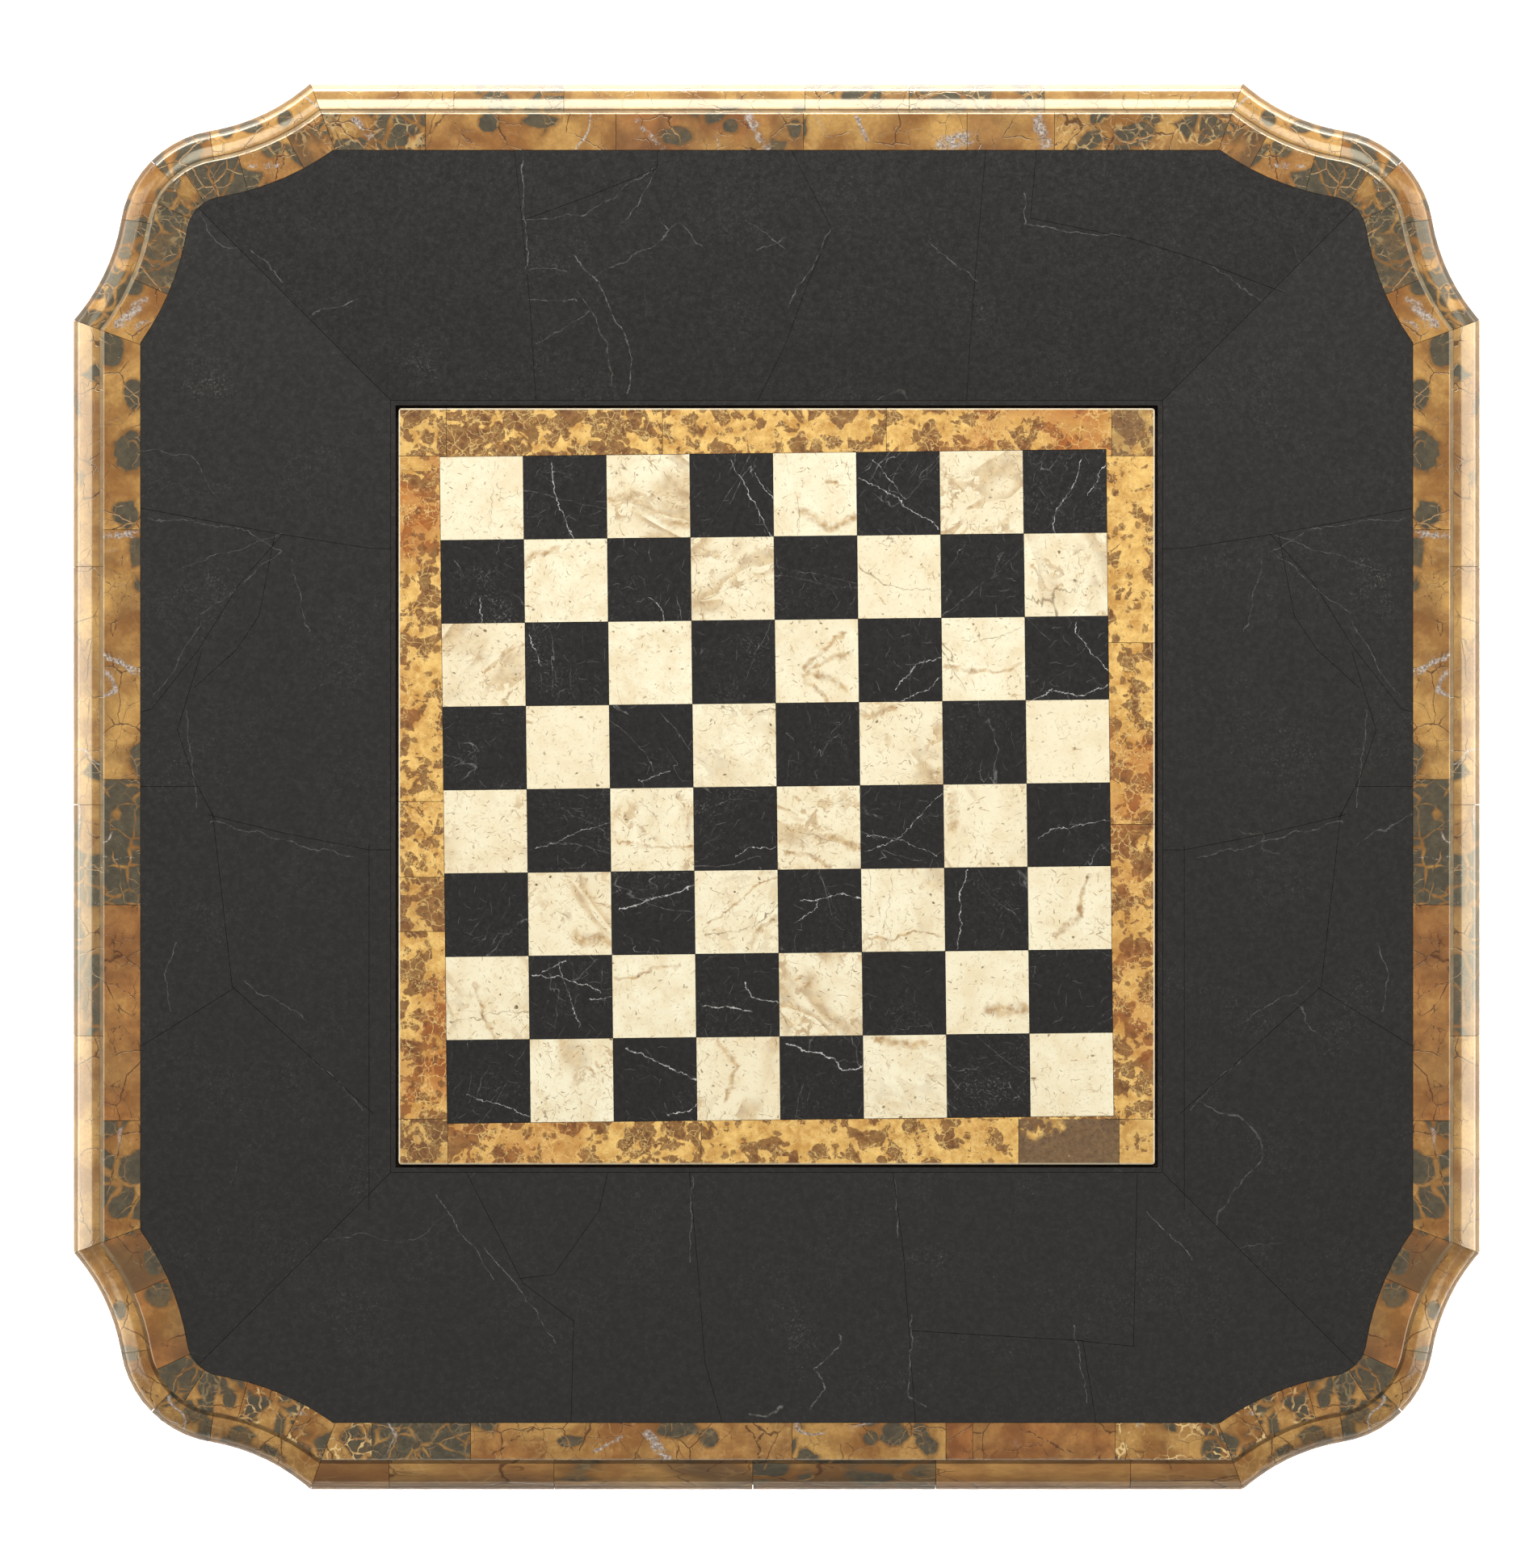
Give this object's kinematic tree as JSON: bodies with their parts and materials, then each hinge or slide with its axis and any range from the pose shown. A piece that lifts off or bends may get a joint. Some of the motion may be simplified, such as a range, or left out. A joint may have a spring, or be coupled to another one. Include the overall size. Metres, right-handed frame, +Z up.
{
  "type": "pedestal game table",
  "caption": "Square game table in stone veneer on a central pedestal, with a lift-out chess panel that covers a recessed backgammon board.",
  "frame": {"origin": "on the floor, under the middle of the top", "axes": "+Z up, the front side faces -Y, +X to the right seen from the front"},
  "size_m": [0.914, 0.914, 0.762],
  "materials": {
    "core_wood": "stained close-grained wood",
    "moulding_stone": "polished ochre-brown figured stone in short rounded lengths",
    "border_stone": "polished ochre-brown figured stone with dark grey patches and cracks",
    "field_stone": "polished black stone with fine pale specks and thin veins",
    "cream_stone": "polished cream fossil stone with tan figures",
    "dark_stone": "polished black stone with white veins",
    "panel_stone": "polished golden stone with pale veins and dark pits",
    "steel": "zinc-plated steel",
    "felt": "dark green felt",
    "glide_plastic": "dark brown plastic"
  },
  "bodies": {
    "table": {"backgammon_bar": "border_stone", "backgammon_ground": "field_stone", "backgammon_points_dark": "panel_stone", "backgammon_points_light": "cream_stone", "base_moulding": "moulding_stone", "bearers": "core_wood", "border_stone_back": "border_stone", "border_stone_corners": "border_stone", "border_stone_front": "border_stone", "border_stone_left": "border_stone", "border_stone_right": "border_stone", "capital_moulding": "moulding_stone", "column_block_bottom": "core_wood", "column_block_top": "core_wood", "column_board_back": "core_wood", "column_board_front": "core_wood", "column_board_left": "core_wood", "column_board_right": "core_wood", "column_corner_stone": "border_stone", "column_face_stone": "field_stone", "edge_nosing": "core_wood", "field_stone_back": "field_stone", "field_stone_front": "field_stone", "field_stone_left": "field_stone", "field_stone_right": "field_stone", "glides": "glide_plastic", "ledge_back": "core_wood", "ledge_facing": "field_stone", "ledge_front": "core_wood", "ledge_left": "core_wood", "ledge_right": "core_wood", "moulding_stone_back": "moulding_stone", "moulding_stone_corners": "moulding_stone", "moulding_stone_front": "moulding_stone", "moulding_stone_left": "moulding_stone", "moulding_stone_right": "moulding_stone", "mounting_plate": "steel", "opening_lining": "field_stone", "plate_screws": "steel", "plinth_core": "core_wood", "plinth_edge_stone": "moulding_stone", "plinth_nosing": "core_wood", "plinth_top_stone": "field_stone", "rod_nuts": "steel", "rod_washers": "steel", "tie_rod": "steel", "top_core_back": "core_wood", "top_core_front": "core_wood", "top_core_left": "core_wood", "top_core_right": "core_wood", "underframe_back": "core_wood", "underframe_front": "core_wood", "underframe_sides": "core_wood", "well_floor": "core_wood"},
    "game_panel": {"panel_board": "core_wood", "panel_felt": "felt", "panel_edging": "panel_stone", "panel_frame_stone": "panel_stone", "light_squares": "cream_stone", "dark_squares": "dark_stone"}
  },
  "joints": [
    {"name": "panel_lift", "type": "slide", "parent": "table", "child": "game_panel", "axis": [0, 0, 1], "range_m": [0, 0.15]}
  ]
}
